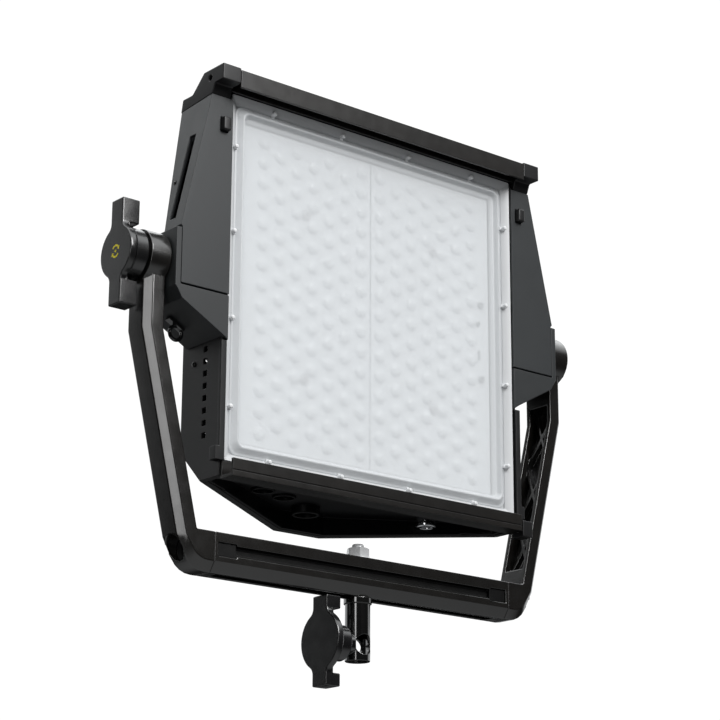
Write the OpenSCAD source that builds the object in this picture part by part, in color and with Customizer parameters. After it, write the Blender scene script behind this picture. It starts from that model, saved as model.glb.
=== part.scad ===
// Studio LED panel light in its yoke, carried by a receiver for a 16 mm lighting spigot.
// Millimetres, +Z up. The origin is on the receiver's axis at its open lower end.
// The light shines along -Y, and the tilt axis runs along X above the origin.
// The head is drawn in face coordinates: Y = 0 is the front plane of the wings on both sides of
// the white face plate, Z = 0 is the plate's centre, and X = 0 is the light's middle plane.

/* [Head] */
// Side of the square white face plate
face_size = 304; // [302:1:306]
// Half width of the chassis box behind the plate
chassis_half = 156; // [155:0.5:157]
// Depth of the chassis box, from the face plate to its rear edge
chassis_depth = 56; // [54:1:60]
// Wall of the sheet and cast housings
shell_wall = 2.5; // [2:0.5:3]
// Half width of the flat strip at the rear
rear_half = 30; // [28:1:34]
// Distance from the face plate to the flat rear strip
rear_depth = 140; // [136:1:146]
// Depth of the tray in the underside that holds the sockets
tray_depth = 10; // [8:1:12]

/* [Accessory rails] */
// Distance from the face plate to the front of a rail's lip
lip_reach = 14; // [12:0.5:15]
// Thickness of the lip
lip_t = 2.5; // [2:0.5:3]
// Half length of a rail
rail_half = 155; // [154:0.5:155]

/* [Yoke] */
// Height of the tilt axis above the origin
pivot_z = 291; // [285:1:300]
// Distance from the face plate back to the tilt axis
pivot_back = 26; // [24:1:28]
// Height of the tilt axis above the middle of the face plate
pivot_up = 3; // [0:1:4]
// Half distance between the arms' inner faces at the axis
arm_in = 205.4; // [205:0.2:208]
// Width of an arm
arm_w = 16.4; // [15:0.2:18]
// Depth of the yoke from front to rear
yoke_d = 30; // [28:1:32]
// Chamfer along the arms' outer edges
arm_chamfer = 5.7; // [4:0.1:6.5]
// How far below the axis the arms start to lean in
bend_drop = 58; // [55:1:62]
// How far below the axis the beam's top face lies
beam_drop = 209; // [207:1:212]
// Height of the beam
beam_h = 31; // [29:1:33]
// Half distance between the two inner corners of the yoke
corner_in = 169; // [166:1:172]
// Half length of the straight beam between the arms
beam_half = 152; // [150:1:154]

/* [Pivots and knobs] */
// Radius of the pivot shafts
shaft_r = 8; // [7:0.5:9]
// Running clearance around a shaft
run_gap = 0.06; // [0.03:0.01:0.09]
// Radius of the arms' pivot bosses
boss_r = 22; // [21:0.5:23]
// Radius of the tilt knob's disc
tilt_disc_r = 21.5; // [20:0.5:22]
// Half length of the tilt knob's bar
tilt_bar = 43; // [40:1:46]
// Radius of the clamp knob's disc
clamp_disc_r = 24; // [22:0.5:25]
// Half length of the clamp knob's bar
clamp_bar = 36; // [34:1:36]

/* [Receiver] */
// Radius of the receiver's bore, for a 16 mm spigot
bore_r = 8.1; // [8.05:0.05:8.2]
// Outer radius of the receiver tube
tube_r = 10.25; // [10:0.25:11]
// Height of the receiver's cross hole and clamp screw above the origin
cross_z = 13; // [12:0.5:13]

/* [Lens arrays] */
// Pitch of the columns of lenslets
lens_step_x = 17.1; // [16.8:0.1:17.2]
// Pitch of the lenslets along a column
lens_step_z = 17.5; // [17.2:0.1:17.8]
// Radius of one lenslet
lens_r = 5.8; // [5:0.1:5.9]
// Distance from the wings' front plane back to the front of the lens plates
lens_y = 11.3; // [11.2:0.1:12]

/* [Front cover] */
// Distance from the wings' front plane back to the cover's sheet
sheet_y = 6.9; // [6.5:0.1:7]
// Half width of the cover at the crest of its raised bead
crest_half = 139; // [138:0.5:140]
// Half width of the flat sheet inside the bead
sheet_half = 136; // [135:0.5:137]
// Distance between neighbouring clips
clip_step = 72; // [70:1:73]

/* [Hidden] */

$fn = 48;
fit_gap = 0.2;               // gap between pieces that only lie against each other
cut = 400;                   // length of a tool that cuts right through
chassis_top = 151;
chassis_bottom = -164.4;
chassis_front = 3.2;
lower_cut = 27.4;            // 45 degree cut along the chassis' lower rear edge
upper_cut = 14;              // the same along its upper rear edge
plate_front = 2.5;           // front and back of the white plate
plate_back = 11;
well_half = 145.3;           // half width of the well that the front cover sits in
wing_top = 145.4;
wing_top_half = 173;
wing_wide_half = 199.5;
wing_wide_z = 28;
wing_low_z = -19;
wing_wide_back = 23;
bracket_out = 203.2;
bracket_in = 198.2;
pivot_face_z = pivot_up;     // the tilt axis in face coordinates
tray_floor = chassis_bottom + tray_depth;
beam_top = pivot_z - beam_drop;
beam_bottom = beam_top - beam_h;
lean = atan((arm_in - corner_in) / (beam_drop - bend_drop));
knob_face_x = -242;
clamp_face_x = -39;

// ---------- helpers ----------

// Places what is drawn in face coordinates
module in_head() translate([0, -pivot_back, pivot_z - pivot_up]) children();

// Draws the right-hand piece, mirrored for the left
module side(s) mirror([s < 0 ? 1 : 0, 0, 0]) children();

// Extrudes an outline drawn in X and Z along Y, from y0 to y1
module along_y(y0, y1) translate([0, y1, 0]) rotate([90, 0, 0]) linear_extrude(y1 - y0) children();

// Extrudes an outline drawn in Y and Z along X, from x0 to x1
module along_x(x0, x1) translate([x0, 0, 0]) rotate([90, 0, 90]) linear_extrude(x1 - x0) children();

// Block from its lowest corner to its highest corner
module block(a, b) translate(a) cube(b - a);

// Round bar along X, from x0 to x1, centred on y and z
module rod_x(x0, x1, r, y = 0, z = 0) translate([x0, y, z]) rotate([0, 90, 0]) cylinder(h = x1 - x0, r = r);

// Round bar along Y, from y0 to y1, centred on x and z
module rod_y(y0, y1, r, x = 0, z = 0) translate([x, y0, z]) rotate([-90, 0, 0]) cylinder(h = y1 - y0, r = r);

// ---------- receiver ----------

boss_x = -18.5;              // outer end of the tube's threaded boss
hub_x = -16.5;               // inner end of the clamp knob's hub, which covers the boss
clamp_travel = 5;            // room inside the hub for the boss as the knob is tightened
stud_r = 5;
slide_gap = 0.1;             // between the receiver and the beam it slides along
washer_t = 1.5;

module receiver_tube() color([0.1, 0.1, 0.1]) difference() {
  union() {
    cylinder(h = 49, r = tube_r);
    translate([0, 0, 46]) cylinder(h = beam_bottom - 46 - slide_gap, r = 11.4);
    rod_x(boss_x, 0, 8.5, 0, cross_z);
  }
  translate([0, 0, -1]) cylinder(h = 41, r = bore_r);
  rod_y(-20, 20, bore_r, 0, cross_z);
  rod_x(-20, 0, stud_r + run_gap, 0, cross_z);
  translate([0, 0, 30]) cylinder(h = 40, r = stud_r);
}

module receiver_bolt() color([0.75, 0.76, 0.78]) {
  translate([0, 0, 41]) cylinder(h = beam_top + 13 - 41, r = stud_r);
}

module receiver_washer() color([0.75, 0.76, 0.78]) difference() {
  translate([0, 0, beam_top + slide_gap]) cylinder(h = washer_t, r = 10.5);
  translate([0, 0, beam_top - 1]) cylinder(h = 4, r = stud_r);
}

module receiver_nut() color([0.82, 0.83, 0.85]) difference() {
  translate([0, 0, beam_top + slide_gap + washer_t]) cylinder(h = 8, r = 9.8, $fn = 6);
  translate([0, 0, beam_top]) cylinder(h = 12, r = stud_r);
}

module clamp_pad() color([0.72, 0.6, 0.3]) rod_x(-13, -8.2, stud_r, 0, cross_z);

module clamp_screw() color([0.6, 0.61, 0.63]) rod_x(-32, -13.1, 4.8, 0, cross_z);

// Knob with a disc, a bar across it and a hub; its axis is X and its face is at x = 0
module bar_knob(disc_r, bar_half, bar_w, bar_t, hub_r, hub_end, disc_t = 6) {
  difference() {
    union() {
      rod_x(0, disc_t, disc_r);
      rod_x(disc_t - 1, hub_end, hub_r);
      block([0, -bar_w / 2, -bar_half], [disc_t, bar_w / 2, bar_half]);
      for (s = [-1, 1])
        translate([bar_t / 2, 0, s * (bar_half + disc_r + 1.5) / 2])
          cube([bar_t, bar_w, bar_half - disc_r - 1.5], center = true);
    }
    children();
  }
}

module clamp_knob() color([0.13, 0.13, 0.13]) translate([clamp_face_x, 0, cross_z])
  bar_knob(clamp_disc_r, clamp_bar, 18, 14.6, 14.5, hub_x - clamp_face_x) {
    rod_x(-clamp_face_x - 32, 40, 4.8);
    rod_x(boss_x - clamp_travel - clamp_face_x, 40, 8.9);
  }

// ---------- yoke ----------

slot_w = 10.6;               // width of the receiver's slot through the beam
slot_half = 144;
groove_low = 9;              // front groove, measured down from the beam's top
groove_h = 8;

module beam_section() polygon([[-yoke_d / 2, beam_top], [yoke_d / 2, beam_top], [yoke_d / 2, beam_bottom + 8.5],
  [yoke_d / 2 - 6, beam_bottom], [6 - yoke_d / 2, beam_bottom], [-yoke_d / 2, beam_bottom + 8.5]]);

module yoke_beam() color([0.22, 0.2, 0.19]) difference() {
  along_x(-beam_half, beam_half) beam_section();
  block([-slot_half, -slot_w / 2, beam_bottom - 1], [slot_half, slot_w / 2, beam_top + 1]);
  block([-149, -yoke_d / 2 - 1, beam_top - groove_low - groove_h], [149, -yoke_d / 2 + 5, beam_top - groove_low]);
  for (s = [-1, 1])
    block([s * 140 - 9, -yoke_d / 2 - 1, beam_top - groove_low - groove_h - 1.5],
      [s * 140 + 9, -yoke_d / 2 + 3, beam_top - groove_low + 1.5]);
}

// Slab of the arm between two depths, with its outer edge drawn in by inset
module arm_slab(outline, depth) along_y(-depth / 2, depth / 2) polygon(outline);

// Upright part of the arm, in X and height below the axis
function upright(inset) = [[arm_in, 0], [arm_in + arm_w - inset, 0],
  [arm_in + arm_w - inset, -bend_drop], [arm_in, -bend_drop]];

low_out = arm_in + arm_w - (beam_drop + beam_h - 26 - bend_drop) * tan(lean);
function leaning(inset) = [[arm_in, -bend_drop], [arm_in + arm_w - inset, -bend_drop],
  [low_out - inset, -beam_drop - beam_h + 26], [corner_in, -beam_drop],
  [corner_in, -beam_drop - 4]];

corner_r = 20;
function corner(inset) = concat([[beam_half, -beam_drop], [corner_in, -beam_drop],
  [low_out - inset, -beam_drop - beam_h + 26]],
  [for (a = [0:-15:-90]) [low_out - 6 - corner_r + (corner_r - inset) * cos(a),
    -beam_drop - beam_h + corner_r + (corner_r - inset * 1.45) * sin(a)]],
  [[beam_half, -beam_drop - beam_h + inset * 1.45]]);

module arm_part(full, narrow) hull() {
  arm_slab(full, yoke_d - 2 * arm_chamfer);
  arm_slab(narrow, yoke_d);
}

pocket_depth = 12;
pocket_w = 22;
rib_pitch = 53;

// Pocket in the arm's inner face, with three crossed ribs left standing on its floor
module arm_pocket() translate([arm_in, 0, -bend_drop]) rotate([0, lean, 0]) difference() {
  block([-20, -pocket_w / 2, -140], [pocket_depth - 0.5, pocket_w / 2, 14]);
  for (i = [0:2])
    translate([pocket_depth - 5.5, 0, -12 - i * rib_pitch])
      for (a = [-27, 27]) rotate([a, 0, 0]) block([0, -1.6, -40], [8, 1.6, 40]);
}

module yoke_arm() color([0.2, 0.19, 0.18]) translate([0, 0, pivot_z]) difference() {
  union() {
    arm_part(upright(0), upright(arm_chamfer));
    arm_part(leaning(0), leaning(arm_chamfer));
    arm_part(corner(0), corner(5.7));
    rod_x(204.4, arm_in + arm_w + 0.7, boss_r);
  }
  rod_x(190, 240, shaft_r + run_gap);
  arm_pocket();
  rod_x(165, 210, 9.5, 0, -223);
}

module yoke_arm_left() side(-1) yoke_arm();
module yoke_arm_right() side(1) yoke_arm();

module corner_plugs() color([0.03, 0.03, 0.03]) for (s = [-1, 1]) side(s)
  rod_x(165.2, 171, 9.3, 0, pivot_z - 223);

module friction_washers() color([0.45, 0.42, 0.38]) for (s = [-1, 1]) side(s) difference() {
  rod_x(bracket_out + fit_gap, 204.4, 18, 0, pivot_z);
  rod_x(190, 240, shaft_r + run_gap, 0, pivot_z);
}

module pivot_cap() color([0.16, 0.16, 0.16]) difference() {
  rod_x(arm_in + arm_w + 0.8, arm_in + arm_w + 3.6, 15, 0, pivot_z);
  rod_x(arm_in + arm_w - 1, arm_in + arm_w + 1.8, 12, 0, pivot_z);
}

module thrust_washer() color([0.04, 0.04, 0.04]) difference() {
  rod_x(-224.3, -arm_in - arm_w - 0.75, 18.5, 0, pivot_z);
  rod_x(-240, -200, 4.1, 0, pivot_z);
}

module tilt_screw() color([0.6, 0.61, 0.63]) rod_x(-232, -200, 4, 0, pivot_z);

module tilt_knob() color([0.13, 0.13, 0.13]) translate([knob_face_x, 0, pivot_z])
  bar_knob(tilt_disc_r, tilt_bar, 16.2, 16, 20.8, -224.4 - knob_face_x)
    rod_x(-232 - knob_face_x, 40, 4);

// ---------- head: chassis and face ----------

// Side outline of the chassis, grown by g
module chassis_side(g = 0) polygon([[chassis_front - g, chassis_bottom - g],
  [chassis_depth - lower_cut + g * 0.4, chassis_bottom - g],
  [chassis_depth + g, chassis_bottom + lower_cut - g * 0.4],
  [chassis_depth + g, chassis_top - upper_cut + g * 0.4],
  [chassis_depth - upper_cut + g * 0.4, chassis_top + g], [chassis_front - g, chassis_top + g]]);

// Outline of the recess in the underside, drawn in by inset
function tray_outline(inset) = [[-150.5 + inset, 13], [150.5 - inset, 13],
  [150.5 - inset, chassis_depth - lower_cut - 3 - inset * 0.2], [22, 102.5 - inset],
  [-22, 102.5 - inset], [-150.5 + inset, chassis_depth - lower_cut - 3 - inset * 0.2]];

module chassis() color([0.15, 0.15, 0.15]) in_head() difference() {
  union() {
    along_x(-chassis_half, chassis_half) chassis_side();
    for (s = [-1, 1]) side(s) {
      block([face_size / 2 + 0.2, 0, -152.8], [158.5, chassis_front + 0.1, -57.2]);
      block([face_size / 2 + 0.2, 0, -152.8], [162, 8, -142]);
    }
  }
  block([-chassis_half + shell_wall, -1, chassis_bottom + shell_wall],
    [chassis_half - shell_wall, chassis_depth + 1, chassis_top - shell_wall]);
  block([-face_size / 2, -1, -face_size / 2], [face_size / 2, plate_back + 0.2, face_size / 2]);
  translate([0, 0, chassis_bottom - 1]) linear_extrude(shell_wall + 2) polygon(tray_outline(0));
  for (s = [-1, 1])
    for (i = [0:8])
      side(s) block([150, 22.5, -131 + i * 10], [160, 27.5, -126.5 + i * 10]);
}

// Square with round corners, of a given half side and corner radius
module rounded_square(half, r) {
  square([2 * half, 2 * (half - r)], center = true);
  square([2 * (half - r), 2 * half], center = true);
  for (x = [-1, 1]) for (z = [-1, 1]) translate([x * (half - r), z * (half - r)]) circle(r);
}

// Draws its child at the places of the 16 clips, with the child's X pointing outward
module at_clips() for (q = [0:3]) rotate([0, q * 90, 0])
  for (i = [-1.5:1:1.5]) translate([i * clip_step, 0, well_half + 1.1]) children();

module face_plate() color([0.9, 0.91, 0.92]) in_head() difference() {
  along_y(plate_front, plate_back) square(face_size - 0.4, center = true);
  translate([0, sheet_y, 0]) rotate([90, 0, 0])
    linear_extrude(sheet_y - plate_front + 0.01, scale = 151.6 / well_half) square(2 * well_half, center = true);
  along_y(sheet_y - 0.05, sheet_y + 1.7) square(2 * well_half, center = true);
  along_y(-1, plate_back + 1) square(268, center = true);
  at_clips() rod_y(-1, sheet_y - 0.1, 2);
}

cover_corner = 8;
crest_y = 2.8;
// Frustum from the sheet to the bead's crest
module to_crest(low, high) translate([0, sheet_y + 0.01, 0]) rotate([90, 0, 0])
  linear_extrude(sheet_y - crest_y, scale = high / low) rounded_square(low, cover_corner);

module front_cover() color([0.9, 0.93, 0.95, 0.4]) in_head() {
  along_y(sheet_y, sheet_y + 1.5) rounded_square(well_half - fit_gap, cover_corner);
  difference() {
    to_crest(crest_half + 4.6, crest_half + 0.6);
    translate([0, 0.02, 0]) scale([1, 1.01, 1]) to_crest(sheet_half, crest_half - 0.6);
  }
}

module cover_clips() color([0.8, 0.81, 0.82]) in_head() at_clips() rod_y(1.4, sheet_y - 0.2, 1.9);

lens_t = 2;
lens_raise = 2.6;            // how far a lenslet stands in front of its plate
lens_first_x = 10.3;         // from the middle seam to the first column of lenslets
screw_x = lens_first_x + 3.43 * lens_step_x;
screw_z = 4 * lens_step_z;
board_y = lens_y + 3.8;
sink_y = board_y + 2.1;

// Draws a hole or a screw at the four fixing places of the lens plates
module at_screws() for (x = [-1, 1]) for (z = [-1, 1]) translate([x * screw_x, 0, z * screw_z]) children();

// One of the two lens plates: a sheet with staggered columns of raised lenslets
module lens_half() difference() {
  union() {
    along_y(lens_y, lens_y + lens_t) translate([0.5, -133]) square([132.5, 266]);
    along_y(lens_y - lens_raise, lens_y + 0.1)
      for (c = [0:6])
        for (r = [-7:7 - c % 2])
          translate([lens_first_x + c * lens_step_x, (r + (c % 2) / 2) * lens_step_z]) circle(lens_r);
  }
  at_screws() rod_y(0, 20, 2);
}

module lens_array_left() color([0.92, 0.94, 0.95]) in_head() side(-1) lens_half();
module lens_array_right() color([0.92, 0.94, 0.95]) in_head() side(1) lens_half();

module led_board() color([0.85, 0.87, 0.86]) in_head() difference() {
  along_y(board_y, board_y + 2) square(290, center = true);
  at_screws() rod_y(0, 20, 2);
}

module array_screws() color([0.6, 0.6, 0.6]) in_head() at_screws() {
  rod_y(lens_y - 1.9, lens_y - 0.1, 3.4);
  rod_y(lens_y - 0.2, sink_y + 4, 1.9);
}

fin_t = 1.6;
fin_pitch = 12;
module heat_sink() color([0.6, 0.61, 0.63]) in_head() difference() {
  union() {
    along_y(sink_y, sink_y + 5) square(290, center = true);
    for (x = [-132:fin_pitch:132])
      block([x - fin_t / 2, sink_y + 4.9, -130], [x + fin_t / 2, 48, 120]);
  }
  at_screws() rod_y(0, 30, 2);
}

// ---------- head: rails and their ends ----------

module top_rail() color([0.3, 0.3, 0.31]) in_head() along_x(-rail_half, rail_half)
  polygon([[-lip_reach, 151], [-lip_reach, 166], [13, 166], [28, 153.3], [28, chassis_top + 0.2],
    [26, chassis_top + 0.2], [12, 163.5], [2.5, 163.5], [2.5, 152.4], [0, 152.4], [0, 163.5],
    [lip_t - lip_reach, 163.5], [lip_t - lip_reach, 151]]);

module bottom_rail() color([0.22, 0.2, 0.19]) in_head() difference() {
  along_x(-rail_half, rail_half)
    polygon([[-lip_reach, -153.4], [-lip_reach, -162], [0.8 - lip_reach, -162], [0.8 - lip_reach, -163],
      [-lip_reach, -163], [-lip_reach, -167.2], [2.5, -167.2], [2.5, -153.4], [0, -153.4],
      [0, -164.7], [lip_t - lip_reach, -164.7], [lip_t - lip_reach, -153.4]]);
  block([145.5, -20, -175], [160, -0.5, -150]);
}

module rail_end_stop() color([0.24, 0.22, 0.21]) in_head() difference() {
  block([146.5, -lip_reach, -171.5], [157.5, -0.7, -158]);
  rod_x(140, 160, 2.2, -7, -165);
}

// End cap of the top rail, with a nose in front and a screw hole in its side
module end_cap() color([0.17, 0.17, 0.17]) in_head() difference() {
  along_x(rail_half + 0.1, wing_top_half)
    polygon([[-lip_reach, 167.5], [13, 167.5], [28.6, 153.4], [42, 153.4], [44.4, 142.2],
      [0.5, 145.8], [-2.7, 154], [-lip_reach, 154]]);
  block([150, chassis_front - 0.2, 130], [chassis_half + 0.2, 60, chassis_top + 0.2]);
  block([150, -1, 130], [152.2, 10, 152.2]);
  rod_x(168, 180, 2.4, 4, 160);
}

module end_cap_left() side(-1) end_cap();
module end_cap_right() side(1) end_cap();

// ---------- head: wings and pivot brackets ----------

// Front outline of a wing cover, drawn in by inset on its outer sides
module wing_outline(inset) polygon([[152.3 - 4 * inset, wing_low_z + inset], [152.3 - 4 * inset, wing_top - inset],
  [wing_top_half - 1.2 * inset, wing_top - inset], [wing_wide_half - 1.2 * inset, wing_wide_z],
  [bracket_in - 0.3 - 1.2 * inset, wing_wide_z - 1.5], [bracket_in - 0.3 - 1.2 * inset, wing_low_z + inset]]);

// Everything in front of the slanted rear wall, moved forward by inset
module before_slant(inset) translate([wing_wide_half, wing_wide_back - inset, 0])
  rotate([0, 0, 180 - 36.2]) translate([-60, 0, -cut / 2]) cube([cut, cut, cut]);

module wing_cover() color([0.26, 0.27, 0.28]) in_head() difference() {
  intersection() {
    along_y(0, 60) wing_outline(0);
    before_slant(0);
  }
  intersection() {
    along_y(shell_wall, 70) wing_outline(shell_wall);
    before_slant(shell_wall * 1.2);
  }
  block([140, chassis_front - 0.2, -100], [chassis_half + 0.3, 80, 200]);
  translate([0, 0, wing_top]) rotate([-4.7, 0, 0]) block([100, -5, 0], [250, 90, 40]);
  block([178, 11, 37], [215, 19, 112]);
  rod_x(180, 210, 2, 25, 72);
  block([catch_in - 0.3, -1, catch_z - 6.1], [catch_out + 0.3, 4, catch_z + 6.1]);
  rod_x(180, 215, 15.4, pivot_back, pivot_face_z);
}

module wing_cover_left() side(-1) wing_cover();
module wing_cover_right() side(1) wing_cover();

module pivot_bracket() color([0.2, 0.2, 0.21]) in_head() difference() {
  union() {
    along_y(0, 50) polygon([[152.3, wing_low_z - 1.2], [bracket_in, wing_low_z - 1.2], [bracket_in, 26],
      [bracket_out, 26], [bracket_out, -22], [201, -24.5], [196.6, -31.5], [158.5, -52.5], [152.3, -56.5]]);
    rod_x(bracket_in - 12, bracket_out, 15, pivot_back, pivot_face_z);
  }
  along_y(3, 60) polygon([[150, wing_low_z - 4.5], [194, wing_low_z - 4.5], [193.5, -29.5], [160, -48],
    [150, -53.5]]);
  block([140, chassis_front - 0.2, -100], [chassis_half + 0.3, 80, 200]);
  rod_x(150, 210, shaft_r, pivot_back, pivot_face_z);
}

module pivot_bracket_left() side(-1) pivot_bracket();
module pivot_bracket_right() side(1) pivot_bracket();

module pivot_shaft() rod_x(186, 221.5, shaft_r, 0, pivot_z);

module pivot_shaft_left() color([0.62, 0.63, 0.65]) difference() {
  side(-1) pivot_shaft();
  rod_x(-240, -190, 4.1, 0, pivot_z);
}
module pivot_shaft_right() color([0.62, 0.63, 0.65]) pivot_shaft();

// Wire loop under the left bracket for a safety cable
module safety_bail() color([0.2, 0.2, 0.2]) in_head() translate([-180, 32, -40.9]) {
  rotate([0, 28.9, 0]) block([-8, -3, -2.5], [8, 3, -0.2]);
  translate([0, 0, -8]) rotate([90, 0, 0]) rotate_extrude() translate([5.6, 0]) circle(1.5, $fn = 24);
}

catch_z = 121.5;
catch_in = 157;
catch_out = 164.3;

// Spring-loaded catch in the wing cover: a button with a wider foot behind the cover's front wall
module catch_body() color([0.12, 0.12, 0.12]) in_head() {
  block([catch_in, -4.8, catch_z - 5.8], [catch_out, 3, catch_z + 5.8]);
  block([catch_in, 2.8, catch_z - 7.5], [catch_out + 2, 5, catch_z + 7.5]);
}
module catch_left() side(-1) catch_body();
module catch_right() side(1) catch_body();

module housing_screws() color([0.3, 0.3, 0.3]) in_head() for (s = [-1, 1]) side(s) {
  rod_x(168.1, 170.5, 2.3, 4, 160);
  rod_x(187.5, 190, 1.9, 25, 72);
  rod_x(chassis_half, chassis_half + 1, 2.2, 40, -68);
}

// ---------- head: rear cover and what it holds ----------

// Closed form of the rear cover, drawn in by inset
module rear_form(inset) {
  half = chassis_half - 0.1 - inset * 1.3;
  flat = rear_half - inset * 0.5;
  hull() for (s = [-1, 1]) {
    translate([s * half, chassis_depth - lower_cut - inset, chassis_bottom + inset]) cube(0.02);
    translate([s * half, chassis_depth - inset, chassis_bottom + lower_cut]) cube(0.02);
    translate([s * half, chassis_depth - inset, chassis_top - upper_cut]) cube(0.02);
    translate([s * half, chassis_depth - upper_cut - inset, chassis_top - inset]) cube(0.02);
    translate([s * (24 - inset * 0.5), 108 - inset * 1.3, -171 + inset]) cube(0.02);
    translate([s * flat, rear_depth - inset, -118 + inset * 0.4]) cube(0.02);
    translate([s * flat, rear_depth - inset, 98 - inset * 0.4]) cube(0.02);
    translate([s * flat, 104 - inset, 140 - inset]) cube(0.02);
  }
}

slant = atan((rear_depth - chassis_depth) / (chassis_half - rear_half));
fan_r = 37;
fan_x = 93;
fan_z = 20;
vent_low = -130;             // lowest vent slot, measured from the fan's centre
vent_step = 12;
vent_half = 38;
// Places what is drawn on the right slanted wall: local +Y is outward, local Y = 0 is the wall's face
module on_slant() translate([fan_x, chassis_depth + (chassis_half - fan_x) * tan(slant), fan_z])
  rotate([0, 0, -slant]) children();

// Openings between the rings and spokes of the fan guard
module guard_gaps() difference() {
  circle(fan_r);
  circle(7);
  for (r = [16, 26])
    difference() {
      circle(r);
      circle(r - 2);
    }
  for (a = [45, 135]) rotate(a) square([2 * fan_r, 3], center = true);
}

module rear_cover() color([0.16, 0.16, 0.16]) in_head() difference() {
  rear_form(0);
  rear_form(3);
  along_x(-200, 200) chassis_side(0.1);
  translate([0, 0, chassis_bottom - 10]) linear_extrude(14.5) polygon(tray_outline(0));
  block([-28.2, rear_depth - 5, -104], [28.2, rear_depth + 5, 92]);
  for (s = [-1, 1]) side(s) on_slant() {
    along_y(-20, 20) guard_gaps();
    for (z = [vent_low:vent_step:vent_low + 5 * vent_step])
      block([-vent_half, -20, z], [vent_half, 20, z + 4]);
  }
}

power_place = [-12, 80];
dc_place = [91.5, 47];
data_places = [[-78, 51], [-50, 60]];
rim_slope = atan((171 + chassis_bottom) / (108 - chassis_depth + lower_cut));

module socket_tray() color([0.1, 0.1, 0.11]) in_head() difference() {
  translate([0, 0, -172]) linear_extrude(172 + tray_floor + 2) polygon(tray_outline(0.3));
  translate([0, 0, -180]) linear_extrude(180 + tray_floor) polygon(tray_outline(3));
  block([-200, -10, -200], [200, 40, chassis_bottom + 0.4]);
  translate([0, chassis_depth - lower_cut, chassis_bottom + 0.4]) rotate([-rim_slope, 0, 0])
    block([-200, -20, -40], [200, 200, 0]);
  for (p = concat([power_place, dc_place], data_places))
    translate([p[0], p[1], tray_floor - 5]) cylinder(h = 20, r = p == power_place ? 12 : p == dc_place ? 9 : 10);
}

// Blind round socket facing down, with its mouth below the tray's floor by drop
module socket(place, r, hole_r, drop, depth) in_head() translate([place[0], place[1], tray_floor]) difference() {
  translate([0, 0, -drop]) cylinder(h = depth + 3, r = r);
  translate([0, 0, -drop - 1]) cylinder(h = depth + 1, r = hole_r);
}

module power_inlet() color([0.08, 0.09, 0.12]) socket(power_place, 11.9, 9, 7, 16);
module dc_inlet() color([0.8, 0.81, 0.83]) socket(dc_place, 8.9, 5.6, 8, 14);
module data_sockets() color([0.1, 0.1, 0.1]) for (p = data_places) socket(p, 9.9, 8, 2, 12);

module power_supply() color([0.65, 0.66, 0.68]) in_head() difference() {
  block([-60, 58, -112], [60, 96, -22]);
  block([-58, 60, -110], [58, 94, -24]);
}

module control_board() color([0.1, 0.35, 0.18]) in_head() block([-26, 122, -98], [26, 123.6, 88]);

panel_y = rear_depth - 2;
encoder_places = [[-14, 8], [14, 8], [0, -18]];
button_places = [[-17, -42], [0, -42], [17, -42]];

module control_panel() color([0.2, 0.2, 0.21]) in_head() difference() {
  block([-28, panel_y, -103.8], [28, panel_y + 2.5, 91.8]);
  block([-23, panel_y - 1, 27], [23, panel_y + 5, 83]);
  for (p = encoder_places) rod_y(panel_y - 5, panel_y + 5, 3.1, p[0], p[1]);
  for (p = button_places) rod_y(panel_y - 5, panel_y + 5, 5.06, p[0], p[1]);
  block([-11.3, panel_y - 1, -89.3], [11.3, panel_y + 5, -65.7]);
}

module display_window() color([0.05, 0.06, 0.08]) in_head()
  block([-22.9, panel_y + 0.4, 27.1], [22.9, panel_y + 2.1, 82.9]);

module encoder(p) color([0.07, 0.07, 0.07]) in_head() {
  rod_y(panel_y - 8, panel_y + 4, 3, p[0], p[1]);
  rod_y(panel_y + 3, panel_y + 14, 9.5, p[0], p[1]);
}
module encoder_1() encoder(encoder_places[0]);
module encoder_2() encoder(encoder_places[1]);
module encoder_3() encoder(encoder_places[2]);

module push_button(p) color([0.55, 0.56, 0.58]) in_head() {
  rod_y(panel_y - 0.4, panel_y + 5, 5, p[0], p[1]);
  rod_y(panel_y - 1.8, panel_y - 0.2, 6, p[0], p[1]);
}
module button_1() push_button(button_places[0]);
module button_2() push_button(button_places[1]);
module button_3() push_button(button_places[2]);

rocker_y = panel_y + 1;
rocker_z = -77.5;
module power_rocker() color([0.55, 0.05, 0.05]) in_head() translate([0, rocker_y, rocker_z]) {
  along_x(-10.8, 10.8) polygon([[-5, -7], [1.2, -11], [1.5, 0], [4.2, 10.6], [-3, 11], [-6, 5]]);
  rod_x(-11.2, 11.2, 1.2);
}

module fan() color([0.06, 0.06, 0.06]) in_head() on_slant() difference() {
  along_y(-22, -6) square(80, center = true);
  difference() {
    rod_y(-24, -4, fan_r);
    along_y(-21.9, -19.5) union() {
      circle(14);
      square([80, 5], center = true);
      square([5, 80], center = true);
    }
  }
}
module fan_left() side(-1) fan();
module fan_right() side(1) fan();

module rotor() color([0.1, 0.1, 0.1]) in_head() on_slant() {
  rod_y(-19, -8, 14);
  for (a = [0:45:315]) rotate([0, a, 0]) translate([12, -13.5, 0]) rotate([30, 0, 0])
    block([0, -5, -0.7], [22.5, 5, 0.7]);
}
module fan_rotor_left() side(-1) rotor();
module fan_rotor_right() side(1) rotor();

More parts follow.
